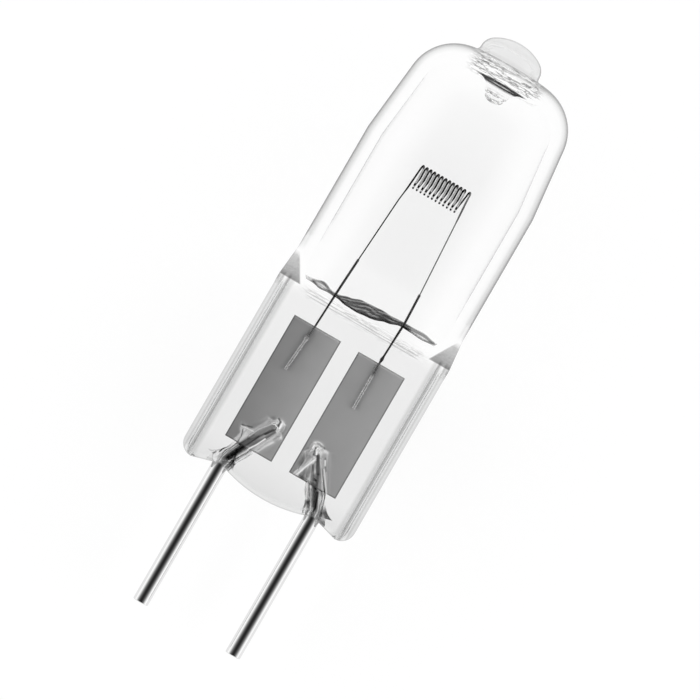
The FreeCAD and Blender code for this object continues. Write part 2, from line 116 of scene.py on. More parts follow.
class Number:
    """A shader socket that can be added, multiplied and compared like a number."""

    def __init__(self, tree, socket):
        self.tree, self.socket = tree, socket

    def math(self, operation, *values):
        node = self.tree.nodes.new("ShaderNodeMath")
        node.operation = operation
        for place, value in zip(node.inputs, values):
            if isinstance(value, Number):
                self.tree.links.new(value.socket, place)
            else:
                place.default_value = value
        return Number(self.tree, node.outputs[0])

    def __add__(self, other):
        return self.math("ADD", self, other)

    def __sub__(self, other):
        return self.math("SUBTRACT", self, other)

    def __rsub__(self, other):
        return self.math("SUBTRACT", other, self)

    def __mul__(self, other):
        return self.math("MULTIPLY", self, other)

    def __truediv__(self, other):
        return self.math("DIVIDE", self, other)

    def __pow__(self, other):
        return self.math("POWER", self, other)

    def larger(self, other):
        return self.math("MAXIMUM", self, other)

    def smaller(self, other):
        return self.math("MINIMUM", self, other)

    def absolute(self):
        return self.math("ABSOLUTE", self)

    def portion(self):
        """The number, kept between 0 and 1."""
        return self.larger(0.0).smaller(1.0)

    __radd__, __rmul__ = __add__, __mul__


def grey(shade):
    return shade, shade, shade, 1


class Finish:
    """A material or the world, with its nodes made one by one."""

    def __init__(self, owner):
        owner.use_nodes = True
        self.owner, self.tree = owner, owner.node_tree
        self.tree.nodes.clear()

    def node(self, kind, settings=None, **sockets):
        """A node of that kind: its settings first, and then a value or a link for each socket."""
        node = self.tree.nodes.new(f"ShaderNode{kind}")
        for name, value in (settings or {}).items():
            if name == "stops":
                stops = node.color_ramp.elements
                while len(stops) < len(value):
                    stops.new(0.5)
                for stop, (place, shade) in zip(stops, value):
                    stop.position, stop.color = place, grey(shade)
            else:
                setattr(node, name, value)
        for name, value in sockets.items():
            place = node.inputs[name.replace("_", " ")]
            if isinstance(value, Number):
                value = value.socket
            if isinstance(value, bpy.types.NodeSocket):
                self.tree.links.new(value, place)
            else:
                place.default_value = value
        return node

    def number(self, node, output=0):
        return Number(self.tree, node.outputs[output])

    def line(self, stops, number):
        """The height at a number of a line through a few stops."""
        return self.number(self.node("ValToRGB", {"stops": stops}, Fac=number))

    def look(self, name):
        """One of the looks that the mesh carries."""
        return self.number(self.node("Attribute", {"attribute_name": name}), "Fac")

    def where(self, place):
        """A place in the frame as the numbers across, station and height, in millimetres."""
        parts = self.node("SeparateXYZ", Vector=place)
        across, along, up = (self.number(parts, axis) / MM for axis in "XYZ")
        return across, along + MIDDLE_STATION, up - MIDDLE_HEIGHT

    def blend(self, share, first, second):
        """The first shader, and the second by its share."""
        node = self.node("MixShader", Fac=share)
        for place, shader in zip(node.inputs[1:], (first, second)):
            self.tree.links.new(shader.outputs[0], place)
        return node

    def surface(self, shader):
        kind = "OutputWorld" if isinstance(self.owner, bpy.types.World) else "OutputMaterial"
        self.node(kind, Surface=shader.outputs[0])
        return self.owner


def new_finish(name):
    return Finish(bpy.data.materials.new(name))


# The light


def seen_directly(finish):
    """1 for rays that show the background in the picture, in metal or through glass."""
    path = finish.node("LightPath")
    seen = finish.number(path, "Is Camera Ray").larger(finish.number(path, "Is Glossy Ray"))
    return seen.larger(finish.number(path, "Is Transmission Ray"))


# how bright the studio is at an angle from straight up, in degrees
STUDIO = ((0, 0.02), (12, 0.03), (24, 0.09), (36, 0.2), (48, 0.45), (60, 0.9), (75, 1.25), (180, 1.25))
# how much of the white background shows in light that the quartz has bent
THROUGH_GLASS = 0.97


def light_the_world():
    """A dark ceiling that brightens down to the walls, which metal and glass mirror."""
    world = bpy.data.worlds.new("studio")
    bpy.context.scene.world = world
    finish = Finish(world)
    parts = finish.node("SeparateXYZ", Vector=finish.node("TexCoord").outputs["Generated"])
    up = finish.number(parts, "Z")
    angle = up.math("ARCCOSINE", up) * (1 / math.pi)
    brightest = max(shade for place, shade in STUDIO)
    stops = [(place / 180, shade / brightest) for place, shade in STUDIO]
    mirrored = finish.line(stops, angle) * brightest
    path = finish.node("LightPath")
    straight = finish.number(path, "Is Camera Ray")
    through = finish.number(path, "Is Transmission Ray") * THROUGH_GLASS
    white = straight.larger(through)
    strength = mirrored * (1 - white) + white
    finish.surface(finish.node("Background", Color=grey(1), Strength=strength))


def add_lamp(name, place, size, power):
    """A softbox that shines at the middle of the scene and isn't seen in metal or glass."""
    bpy.ops.object.light_add(type="AREA", location=place)
    lamp = bpy.context.object
    lamp.name = name
    lamp.data.shape = "RECTANGLE"
    lamp.data.size, lamp.data.size_y = size
    lamp.data.energy = power
    lamp.rotation_euler = (Vector(place) * -1).to_track_quat("-Z", "Y").to_euler()
    lamp.visible_glossy = lamp.visible_transmission = False


FLOOR_SIZE, FLOOR_WHITE, FLOOR_GLOW = 6.0, 0.9, 0.85


def add_floor():
    """A white floor that keeps a faint shadow."""
    bpy.ops.mesh.primitive_plane_add(size=FLOOR_SIZE)
    floor = bpy.context.object
    floor.name = "floor"
    finish = new_finish("floor_white")
    diffuse = finish.node("BsdfDiffuse", Color=grey(FLOOR_WHITE))
    glow = finish.node("Emission", Color=grey(1), Strength=1.0)
    share = seen_directly(finish) * FLOOR_GLOW
    floor.data.materials.append(finish.surface(finish.blend(share, diffuse, glow)))


# How a piece is made


def finish_piece(piece, material, nodes, angle=None):
    """Give a finished piece its material, its place in the frame and the solid it stands for."""
    piece.data.materials.clear()
    piece.data.materials.append(material)
    bpy.ops.object.select_all(action="DESELECT")
    bpy.context.view_layer.objects.active = piece
    piece.select_set(True)
    if angle:
        bpy.ops.object.shade_smooth_by_angle(angle=math.radians(angle))
    else:
        bpy.ops.object.shade_smooth()
    bpy.ops.object.transform_apply(location=True, rotation=True, scale=True)
    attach(piece, "root")
    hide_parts(*nodes)
    return piece


# most of these looks are painted light and shade: the clear look is painted shade in the quartz and painted
# dark lines on the foils, the streak look is painted shade, and the fine-line look is fine lines on the
# quartz and painted highlights on the foils
LOOKS = ("clear", "later", "ripple", "streaks", "marks", "still")
THREAD_DEPTH = 0.14


def wrapped_grid(name, around, along, place):
    """A grid that is wrapped into a closed skin.

    The place of a column and row comes with its looks: how clear the quartz is there, which is painted
    shade, and on a foil its painted dark lines of shade; how much later than elsewhere its painted edge
    shade darkens as it turns away from the eye; how rippled it is; how dark its painted streaked shade is;
    how dark its fine lines are, and on a foil how bright its painted highlight lines are; and how straight
    it lets the light through.
    """
    bpy.ops.object.select_all(action="DESELECT")
    bpy.ops.mesh.primitive_grid_add(x_subdivisions=around, y_subdivisions=along, size=1)
    piece = bpy.context.object
    piece.name = name
    for look in LOOKS:
        piece.data.attributes.new(look, "FLOAT", "POINT")
    looks = {look: piece.data.attributes[look].data for look in LOOKS}
    for number, vertex in enumerate(piece.data.vertices):
        vertex.co, values = place(round((vertex.co.x + 0.5) * around), round((vertex.co.y + 0.5) * along))
        for look in LOOKS:
            looks[look][number].value = values.get(look, 1.0 if look == "clear" else 0.0)
    bpy.ops.object.mode_set(mode="EDIT")
    bpy.ops.mesh.select_all(action="SELECT")
    bpy.ops.mesh.remove_doubles(threshold=1e-7)
    bpy.ops.mesh.normals_make_consistent(inside=False)
    bpy.ops.object.mode_set(mode="OBJECT")
    return piece


def swept(name, stops, around, thread=0.0):
    """A round piece along a line of places and radii, closed at both ends.

    The thread is how far the piece turns round itself from one stop to the next, as wound wire does.
    """
    frames, side = [], None
    for number, (spot, radius) in enumerate(stops):
        way = (stops[min(number + 1, len(stops) - 1)][0] - stops[max(number - 1, 0)][0]).normalized()
        side = way.orthogonal() if side is None else side - way * side.dot(way)
        side.normalize()
        frames.append((spot, radius * MM, side.copy(), way.cross(side)))
    frames = [(frames[0][0], 0.0, *frames[0][2:]), *frames, (frames[-1][0], 0.0, *frames[-1][2:])]

    def place(column, row):
        spot, radius, side, other = frames[row]
        angle = 2 * math.pi * column / around
        if thread:
            radius *= 1 + THREAD_DEPTH * math.cos(angle + thread * row)
        return spot + radius * (side * math.cos(angle) + other * math.sin(angle)), {}

    return wrapped_grid(name, around, len(frames) - 1, place)


def evenly(points, spacing):
    """Stops at even steps along a bent line of points."""
    stops = []
    for first, second in zip(points, points[1:]):
        steps = max(round((second - first).length / (spacing * MM)), 1)
        stops += [first.lerp(second, step / steps) for step in range(steps)]
    return stops + [points[-1]]


# The quartz envelope

BULB_RADIUS = 5.66
SEAL_HALF = 5.85
WEB_HALF, BEAD_HALF = 1.2, 1.5
BEAD_INNER, BEAD_FLAT = 5.08, 5.24
BEAD_TOP = 21.5
PIN_STATION, PIN_ACROSS = 9.55, 3.175
LOBE_STATION, CORNER_STATION, CORNER_RADIUS = 8.95, 9.05, 0.9
RIM_ROUND, SIDE_ROUND = 0.55, 0.55
RIM_POWER, SIDE_POWER = 2.4, 2.3
SEAL_TOP, NECK_TOP = 21.15, 23.1
NUB_TOP = 40.15
FLANK_STATION = 31.4
SHOULDER_CENTRE, SHOULDER_RADIUS = (2.2, 35.6), 3.0
NUB_CENTRE, NUB_RADIUS, NUB_EDGE = -0.24, 2.0, 0.95
# how far across each column of the skin lies, as a share of the half width
CROSSINGS = [0.07 * step for step in range(11)]
CROSSINGS += [0.77 + 0.011 * step for step in range(1, 15)]
CROSSINGS += [math.cos(math.radians(angle)) for angle in (21, 18.5, 16, 13.5, 11, 9, 7, 5, 3, 1.5, 0)]


def ring_columns(crossings):
    """The places round a skin: its share across, and its share up or down."""
    half = [(share, math.sqrt(max(1 - share * share, 0.0))) for share in crossings[::-1]]
    half += [(-share, up) for share, up in half[:-1]][::-1]
    return half + [(share, -up) for share, up in half[-2::-1]]


def rim_station(across):
    """The lower edge of the seal: a lobe between the pins and one round corner outside each."""
    x = abs(across)
    if x < PIN_ACROSS:
        rise = PIN_STATION - LOBE_STATION
        radius = (PIN_ACROSS**2 + rise**2) / (2 * rise)
        station = LOBE_STATION + radius - math.sqrt(radius**2 - x**2)
    else:
        corner = SEAL_HALF - CORNER_RADIUS
        station = mix(PIN_STATION, CORNER_STATION, portion(x, PIN_ACROSS, corner))
        over = portion(x, corner, corner + CORNER_RADIUS)
        station += CORNER_RADIUS * (1 - math.sqrt(1 - over**2))
    return station


def rounded(distance, radius, power=2.0):
    """How full a slab is at a distance from its rounded edge, from 0 at the edge to 1."""
    if distance >= radius:
        return 1.0
    left = 1 - max(distance, 0.0) / radius
    return (1 - left**power) ** (1 / power)


def bead_height(across, half):
    """Half the seal's thickness: the pressed web, and the thicker bead along each side."""
    x = abs(across) * SEAL_HALF / half
    thickness = mix(WEB_HALF, BEAD_HALF, ramp(x, BEAD_INNER, BEAD_FLAT))
    return thickness * rounded(SEAL_HALF - x, SIDE_ROUND, SIDE_POWER)


def half_width(station):
    """Half the envelope's width, seen from the front, up to the flank."""
    return mix(SEAL_HALF, BULB_RADIUS, portion(station, SEAL_TOP, NECK_TOP))


# the small hollow where the nub rises from the crown, as radius and station
CREASE = ((2.2, 38.63), (2.08, 38.68), (2.01, 38.78), (1.99, 38.9))
SHOULDER_STEPS, NUB_STEPS, SHOULDER_TURN = 24, 8, 86


def outer_profile():
    """The bulb's side from the flank to the tip of the nub, as radius and station."""
    centre_x, centre_y = SHOULDER_CENTRE
    across, down = BULB_RADIUS - centre_x, centre_y - FLANK_STATION
    touch = math.acos(SHOULDER_RADIUS / math.hypot(across, down)) - math.atan2(down, across)
    points = [(BULB_RADIUS, FLANK_STATION)]

    def arc(x, y, radius, start, end, steps, first):
        for step in range(first, steps + 1):
            angle = mix(start, end, step / steps)
            points.append((x + radius * math.cos(angle), y + radius * math.sin(angle)))

    arc(centre_x, centre_y, SHOULDER_RADIUS, touch, math.radians(SHOULDER_TURN), SHOULDER_STEPS, 0)
    points += CREASE
    foot = CREASE[-1][1]
    rise, inset = NUB_TOP - foot, NUB_RADIUS - NUB_EDGE
    top_radius = (inset**2 + rise**2 - NUB_EDGE**2) / (2 * (rise - NUB_EDGE))
    meet = math.atan2(top_radius - rise, inset)
    arc(inset, foot, NUB_EDGE, 0.0, meet, NUB_STEPS, 1)
    arc(0.0, NUB_TOP - top_radius, top_radius, meet, math.pi / 2, NUB_STEPS, 1)
    return points


# the jaws leave a small step above the seal, and a flat gusset on each side of the neck's slope
STEP_START, STEP_END, STEP_HALF = 20.95, 21.3, 1.55
SLOPE_START, SLOPE_END, SLOPE_EASE = 21.1, 24.3, 1.6
GUSSET_INNER, GUSSET_OUTER, GUSSET_TOP = 4.4, 5.42, 22.9
GUSSET_EDGE, GUSSET_RIM, BEAD_END = 0.9, 0.12, 0.35


def swell(station):
    """How far the neck has swelled from the seal to the round bulb."""
    return 1 - (1 - portion(station, SLOPE_START, SLOPE_END)) ** SLOPE_EASE


def neck_height(across, station, half):
    """The front of the neck, which swells from the seal's web to the round bulb."""
    x = abs(across)
    share = swell(station)
    fade = ramp(station, STEP_START, STEP_END)
    step = mix(WEB_HALF, STEP_HALF, fade)

    def front(at_x):
        return mix(step, math.sqrt(max(half**2 - at_x**2, 0.0)), share)

    rise = portion(station, SEAL_TOP, GUSSET_TOP)
    inner = mix(GUSSET_INNER, GUSSET_OUTER, rise)
    height = front(x)
    if x > inner:
        outer = half - GUSSET_RIM
        edge = min(mix(GUSSET_EDGE, math.sqrt(half**2 - outer**2), rise), front(inner))
        if x < outer:
            height = mix(front(inner), edge, (x - inner) / (outer - inner))
        else:
            height = edge * math.sqrt(max(1 - ((x - outer) / (half - outer)) ** 2, 0.0))
    bead = bead_height(across, half)
    height = mix(bead, height, fade)
    if x * SEAL_HALF / half > BEAD_INNER and station < BEAD_TOP:
        return max(height, bead * rounded(BEAD_TOP - station, BEAD_END))
    return height


# painted shade in the seal: how clear it is along it, darker towards its lower rim, and from its middle line
# outwards, with dark lines over its beads
SEAL_TONES = ((9.0, 0.77), (11.5, 0.845), (20.6, 0.88), (21.4, 1.0))
BEAD_TONES = ((4.7, 1.0), (4.95, 0.8), (5.08, 0.85), (5.15, 0.42), (5.23, 0.45), (5.29, 0.85), (5.38, 1.0),
              (5.48, 1.0), (5.54, 0.5), (5.58, 0.55), (5.66, 0.8), (5.74, 0.6), (5.85, 0.85))
# a painted dark line of shade along the seal's lower rim, and how wide it is
RIM_SHADE, RIM_WIDTH = 0.85, 0.07
# where light passes straight through the seal: how far in from its rim, and inside its beads
STILL, STILL_RIM, STILL_SIDE = 0.98, (0.25, 0.6), (5.1, 4.8)
# painted shade across the bulb, mostly darker towards its sides, as a share of its half width
BULB_TONES = ((0.8, 1.0), (0.88, 1.0), (0.93, 0.97), (0.955, 0.84), (0.97, 0.92), (0.985, 0.8), (1.0, 0.5))
# painted shade over the bulb from its middle line outwards, where it shows the room behind it
CENTRE_TONES = ((2.1, 0.935), (2.4, 0.955), (2.95, 0.968), (3.4, 0.985), (3.65, 1.0))
CENTRE_SHOWN = (21.2, 21.5, 35.0, 36.4)
# how straight light passes along the bulb
STILL_TONES = ((21.0, 1.0), (38.3, 1.0), (38.8, 0.88))
# the faint marks that the jaws leave over the seal, and those under the crown
JAW_MARKS, JAW_MARK_WIDTH, JAW_MARK_TONE = 21.1, 0.22, 0.5
CROWN_MARKS = (37.45, 37.8, 38.5, 38.62)
# the nub's painted grey shade and how much darker its painted outline is, and where and how dark the painted
# shade along the groove round its foot is
NUB_SHADE, NUB_OUTLINE, GROOVE_STATION, GROOVE_WIDTH, GROOVE_SHADE = 0.83, 0.5, 38.72, 0.06, 0.3


def on_face(height, up):
    """A height in front, or as far behind for the back of a skin."""
    return height if up >= 0 else -height


def centre_shade(across, station):
    """How much painted shade the bulb has over its middle."""
    return along_line(CENTRE_TONES, abs(across)) ** between(station, *CENTRE_SHOWN)


def seal_spot(share, up, where):
    """A spot on the seal and its looks, from the rim (0) to the neck (1)."""
    across = SEAL_HALF * share
    rim = rim_station(across)
    station = mix(rim, NECK_START, where)
    height = bead_height(across, SEAL_HALF) * rounded(station - rim, RIM_ROUND, RIM_POWER)
    # painted shade: a dark line along the rim, darker towards the rim, and dark lines over the beads
    rim_shade = 1 - RIM_SHADE * bell(station, rim, RIM_WIDTH)
    clear = along_line(SEAL_TONES, station) * along_line(BEAD_TONES, abs(across)) * rim_shade
    still = STILL * ramp(station - rim, *STILL_RIM) * ramp(abs(across), *STILL_SIDE)
    looks = {"clear": clear, "still": max(still, ramp(station, 20.7, 21.0))}
    return at(across, station, on_face(height, up)), looks


def neck_spot(share, up, station):
    """A spot on the neck and its looks."""
    half = half_width(station)
    across = half * share
    # painted shade: the seal's dark bead lines and grey fade out, and the bulb is darker towards the sides
    # and over the middle
    bead = mix(1.0, along_line(BEAD_TONES, abs(across) * SEAL_HALF / half), ramp(station, 21.55, 21.2))
    side_shade = along_line(BULB_TONES, abs(share)) ** ramp(station, 22.9, 23.6)
    clear = along_line(SEAL_TONES, station) * bead * side_shade * centre_shade(across, station)
    later = 0.25 * between(station, 21.0, 21.4, 23.6, 24.2)
    marks = JAW_MARK_TONE * bell(station, JAW_MARKS, JAW_MARK_WIDTH) * ramp(abs(across), 4.4, 3.6)
    looks = {"clear": clear, "later": later, "marks": marks, "still": along_line(STILL_TONES, station)}
    return at(across, station, on_face(neck_height(across, station, half), up)), looks


def tube_spot(share, up, station):
    """A spot on the round tube and its looks."""
    half = half_width(station)
    # painted shade, darker towards the sides and over the middle
    clear = along_line(BULB_TONES, abs(share)) * centre_shade(half * share, station)
    return at(half * share, station, half * up), {"clear": clear, "still": 1.0}


def crown_spot(share, up, where):
    """A spot on the crown or its nub and its looks."""
    radius, station = where
    across = NUB_CENTRE * ramp(radius, 2.6, 2.0) + radius * share
    busy = ramp(abs(across), 2.6, 1.9) * between(station, *CROWN_MARKS)
    nub = ramp(radius, 2.6, 2.1)
    groove = bell(station, GROOVE_STATION, GROOVE_WIDTH)
    # painted shade: the nub is painted grey with a darker outline, and the groove round its foot is painted
    # dark
    nub_shade = NUB_SHADE * (1 - NUB_OUTLINE * ramp(abs(share), 0.94, 0.99))
    clear = mix(along_line(BULB_TONES, abs(share)) ** ramp(station, 38.3, 35.0), nub_shade, nub)
    clear *= (1 - GROOVE_SHADE * groove) * centre_shade(across, station)
    looks = {"clear": clear, "later": 0.1 * nub + 0.5 * groove, "ripple": busy, "marks": busy}
    return at(across, station, radius * up), {**looks, "still": along_line(STILL_TONES, station)}


# how many rings each part has, how close those of the seal lie at its rim, and where the neck's start and end
SEAL_ROWS, NECK_ROWS, TUBE_ROWS, RIM_CLOSENESS = 40, 60, 12, 1.7
NECK_START, NECK_END = 20.95, 24.2


def outer_rows():
    """Every ring of the outer skin, from the lower rim to the tip."""
    rows = [(seal_spot, (step / SEAL_ROWS) ** RIM_CLOSENESS) for step in range(SEAL_ROWS)]
    rows += [(neck_spot, mix(NECK_START, NECK_END, step / NECK_ROWS)) for step in range(NECK_ROWS + 1)]
    rows += [(tube_spot, mix(NECK_END, FLANK_STATION, step / TUBE_ROWS)) for step in range(1, TUBE_ROWS)]
    return rows + [(crown_spot, point) for point in outer_profile()]


HOLLOW_RADIUS = 4.71
HOLLOW_CROWN = 37.45
SLIT_ROWS, WALL_ROWS, INNER_STEPS = 44, 8, 20
SLIT_TOP = 24.9
HOLLOW_FOOT, HOLLOW_SHIFT = 4.3, 0.35
HOLLOW_CROSSINGS = [math.sin(math.radians(2.25 * step)) for step in range(41)]
# the drop that hangs under the crown, as radius and station, and the round end of it
DROP = ((1.8, 37.47), (1.45, 37.45), (1.15, 37.36), (0.95, 37.2), (0.8, 36.98), (0.7, 36.75))
DROP_RADIUS, DROP_ROUND, DROP_LENGTH, DROP_STEPS = 0.62, 36.62, 0.37, 6


def hollow_profile():
    """The inner wall from the neck to the tip of the drop, as radius and station."""
    centre_x = SHOULDER_CENTRE[0]
    inner = SHOULDER_RADIUS - (BULB_RADIUS - HOLLOW_RADIUS)
    centre_y = HOLLOW_CROWN - inner
    walls = [mix(SLIT_TOP, FLANK_STATION, step / WALL_ROWS) for step in range(1, WALL_ROWS + 1)]
    points = [(HOLLOW_RADIUS, station) for station in walls]
    for step in range(INNER_STEPS + 1):
        angle = math.pi / 2 * step / INNER_STEPS
        points.append((centre_x + inner * math.cos(angle), centre_y + inner * math.sin(angle)))
    points += DROP
    for step in range(DROP_STEPS + 1):
        angle = math.pi / 2 * step / DROP_STEPS
        points.append((DROP_RADIUS * math.cos(angle), DROP_ROUND - DROP_LENGTH * math.sin(angle)))
    return points


# the floor of the sealed space from side to side: its station, how far it leans, how dark its painted streaks
# of shade are
MEETING = ((-4.5, 21.64), (-3.3, 21.64), (-2.4, 21.56), (-1.5, 21.56), (-0.7, 21.66), (0.0, 21.72),
           (1.2, 21.88), (2.0, 22.03), (3.5, 22.0), (4.3, 21.97))
LEANING = ((-4.3, 0.02), (-3.9, 0.08), (-3.3, 0.24), (-2.6, 0.04), (-2.2, 0.04), (-1.5, 0.22), (-0.7, 0.38),
           (0.5, 0.38), (1.2, 0.26), (2.0, 0.16), (2.7, 0.2), (3.5, 0.3), (4.2, 0.12), (4.4, 0.02))
STREAKS = ((-4.2, 0.1), (-3.3, 0.55), (-2.5, 0.4), (-1.8, 0.9), (1.6, 1.0), (2.4, 0.95), (2.9, 0.3),
           (4.3, 0.15))
# the floor's half height and round edge, and how dark its painted shade can get
FLOOR_HALF, FLOOR_ROUND, FLOOR_SHADE = 1.15, 0.16, 0.004
# where the floor's painted shade gives way to a lighter loop with a darker rim, and where it is painted in a
# swirl
LOOP, SWIRL = (2.5, 2.8, 4.2, 4.4), (-4.0, -3.8, -2.6, -2.3)
# how many painted bright lines cross the floor up and across it, and how far they wander
LINES_UP, LINES_ACROSS, LINES_WANDER = 1.3, 0.3, 0.9
# the painted dark ring of shade where the drop meets the crown, and how much later the inner wall's painted
# edge shade darkens
RING_SHADE, WALL_LATER = 0.002, 0.28


def inner_wall_spot(share, up, where):
    """A spot on the inner wall or on the drop and its looks."""
    radius, station = where
    drop = ramp(radius, 0.95, 0.65)
    ring = ramp(radius, 1.6, 1.4) * ramp(station, 37.2, 37.27)
    tip = ramp(station, 36.62, 36.4)
    later = mix(WALL_LATER, 1.0, ramp(station, 35.0, 36.5)) * mix(1.0, 0.4, tip)
    # painted shade: a dark ring where the drop meets the crown
    looks = {"clear": RING_SHADE**ring, "later": later, "marks": drop * ramp(station, 37.0, 36.8)}
    looks.update({"streaks": 0.8 * ring, "ripple": drop, "still": mix(1.0, 0.75, tip * drop)})
    return at(radius * share, station, radius * up), looks


def floor_looks(across, rise, floor, station):
    """How the floor of the sealed space looks: painted streaked shade, a lighter painted loop and a painted
    swirl.
    """
    streaks = along_line(STREAKS, across) * floor
    wander = noise.noise((across * 1.1, rise * 0.6, 2.0))
    waves = LINES_UP * rise + LINES_ACROSS * across + LINES_WANDER * wander
    line = max(math.cos(2 * math.pi * waves), 0.0) ** 2
    rim = ramp(abs(rise), 0.75, 0.9) * floor
    loop, swirl = between(across, *LOOP), between(across, *SWIRL)
    depth = mix(streaks * (1 - 0.65 * line), 0.05 + 0.4 * rim, loop * floor)
    depth = mix(depth, 0.1 + 0.3 * rim + 0.3 * line, swirl * floor)
    later = mix(mix(0.2, 0.5, ramp(station, 24.2, 23.6)), 1.0, floor)
    return {"clear": FLOOR_SHADE**depth, "later": later, "streaks": 0.3 * streaks * (1 - loop), "still": 1.0}


def slit_spot(share, up, where):
    """A spot on the leaning wavy floor (0) or on the walls that follow the neck's slope (1)."""
    across = mix(HOLLOW_FOOT, HOLLOW_RADIUS, ramp(where, 0.0, 0.6)) * share
    bottom = along_line(MEETING, across)
    station = mix(bottom, SLIT_TOP, where**1.9)
    swelled = swell(station - HOLLOW_SHIFT)
    power = mix(3.5, 2.0, ramp(station, 21.5, 23.5))
    section = (1 - abs(share) ** power) ** (1 / power)
    height = mix(FLOOR_HALF, HOLLOW_RADIUS, swelled) * section * rounded(station - bottom, FLOOR_ROUND)
    height = on_face(height, up)
    floor = ramp(station - bottom, FLOOR_ROUND * 1.5, FLOOR_ROUND * 0.9)
    lean = along_line(LEANING, across) * (1 - swelled) ** 3
    looks = floor_looks(across, height / FLOOR_HALF, floor, station)
    return at(across, station - lean * height, height), looks


def turned_inward(piece):
    """The skin of a space inside the quartz faces into that space."""
    bpy.ops.object.mode_set(mode="EDIT")
    bpy.ops.mesh.select_all(action="SELECT")
    bpy.ops.mesh.flip_normals()
    bpy.ops.object.mode_set(mode="OBJECT")
    return piece


# the gap round each root, with its flared mouth and its tapered end
GAP_START, GAP_END, GAP_RADIUS, GAP_FLARE, GAP_FLARE_LENGTH = 9.66, 12.1, 0.6, 0.6, 0.2
GAP_TAPER, GAP_WAVE, GAP_COLUMNS, GAP_SPACING = 0.8, 0.09, 120, 0.05
GAP_LOOKS = {"later": 0.6, "marks": 0.2, "ripple": 0.5, "still": 0.97}
# the gap's painted dark outline of shade and the painted dark wedge of shade at its mouth
OUTLINE_EDGE, OUTLINE_WIDTH, OUTLINE_TONE, WEDGE_TONE = 0.93, 0.035, 0.9, 0.85
# painted light and shade over each root: dark lines of painted shade and painted dark reflections, and bright
# lines of painted highlights, each with the places it passes (across, station and so on), its half width and
# its strength
ROOT_DARK = {
    "left": (
        ((2.94, 10.08, 2.64, 11.15, 2.12, 12.2, 1.58, 13), 0.23, 0.68),
        ((2.86, 10, 2.6, 10.9, 2.05, 12, 1.62, 12.75), 0.03, 0.6), ((2.75, 11.2, 2.3, 12.05), 0.04, 0.5),
        ((1.5, 13.6, 1.32, 13.5, 1.33, 12.98, 1.74, 12.4), 0.06, 0.8),
        ((3.22, 12.2, 2.64, 12.37), 0.05, 0.7), ((1.35, 12.75, 2.1, 11.35), 0.17, 0.5),
        ((0.95, 13.3, 1.05, 12.4), 0.15, 0.4), ((2.5, 12.45, 1.75, 13.4), 0.2, 0.35),
        ((2, 12.1, 2.35, 11.3), 0.05, 0.5), ((3.05, 12, 2.91, 11.58, 2.94, 11.17, 3.4, 9.8), 0.03, 0.8),
        ((3.32, 10.9, 3.59, 10.14), 0.05, 1), ((2.5, 9.94, 2.16, 9.73), 0.1, 0.9),
        ((2.75, 10.75, 2.55, 10.2, 2.6, 9.8), 0.05, 0.9),
        ((3.77, 10.04, 3.94, 9.77, 4.35, 9.66), 0.05, 0.9),
    ),
    "right": (
        ((1.63, 12.84, 2.15, 11.95), 0.12, 0.78), ((2.2, 11.9, 2.5, 11.15), 0.1, 0.6),
        ((1.68, 12.1, 1.5, 11.35), 0.22, 0.5), ((2.05, 11.65, 2.3, 11.3), 0.22, 0.5),
        ((1.3, 11.27, 2.35, 11.24), 0.1, 0.45), ((1.6, 12.3, 2.2, 11.3), 0.04, 0.3),
        ((1.25, 13.5, 1.73, 13.44), 0.06, 0.6), ((1.25, 13.25, 1.35, 12.77), 0.04, 0.7),
        ((1.02, 12.2, 1, 11.6), 0.03, 0.6), ((2.08, 12.95, 2.5, 12.3), 0.04, 0.6),
        ((2, 13, 3, 11.2), 0.25, 0.45), ((1.3, 12.9, 1, 12), 0.2, 0.4),
        ((0.95, 13.3, 0.95, 12.3), 0.12, 0.4), ((2.2, 12.3, 3.05, 11.15), 0.045, 0.9),
        ((2.72, 11, 3.03, 10.17, 3.03, 9.6), 0.06, 0.9), ((3.17, 11.06, 3.44, 10.17), 0.04, 0.9),
        ((3.51, 10.03, 3.66, 9.7), 0.08, 0.9), ((2.38, 10.15, 2.4, 9.9), 0.13, 0.8),
        ((2.2, 10.95, 2.5, 10.25), 0.03, 0.7),
    ),
}
ROOT_BRIGHT = {
    "left": (
        ((1.64, 13.22, 2.22, 12.47, 2.5, 11.85), 0.04, 0.6), ((1.2, 13.43, 1.16, 13.02), 0.05, 1),
        ((1.61, 12.16, 1.85, 11.65, 2.16, 11.17), 0.06, 0.9), ((3.25, 12.13, 2.43, 12.2), 0.03, 0.8),
        ((2.7, 12, 2.82, 11.4), 0.14, 0.5),
    ),
    "right": (
        ((1.56, 12.57, 1.25, 11.75, 1.08, 11.27), 0.05, 0.9), ((1.11, 13.3, 1.11, 12.9), 0.04, 1),
        ((1.39, 13.25, 1.49, 12.9), 0.06, 1), ((1.85, 12.75, 2.95, 11.2), 0.035, 0.7),
        ((2.35, 12.35, 3.2, 11.15), 0.05, 0.8), ((2.14, 12.84, 2.28, 12.57), 0.05, 0.9),
    ),
}


def near_line(spot, start, end):
    """How far a spot lies from a line between two places, and how far along the line that is."""
    across, along = end[0] - start[0], end[1] - start[1]
    x, y = spot[0] - start[0], spot[1] - start[1]
    share = portion((x * across + y * along) / (across**2 + along**2))
    return math.hypot(x - share * across, y - share * along), share


def lines_drawn(side, across, station):
    """How clear the painted dark lines of shade near a root leave a spot, and how bright the painted
    highlight lines make it.
    """
    results = []
    for lines in (ROOT_DARK[side], ROOT_BRIGHT[side]):
        left = 1.0
        for spots, width, strength in lines:
            points = list(zip(spots[::2], spots[1::2]))
            distance = min(near_line((across, station), *pair)[0] for pair in zip(points, points[1:]))
            left *= 1 - strength * math.exp(-((distance / width) ** 4))
        results.append(left)
    return results[0], 1 - results[1]


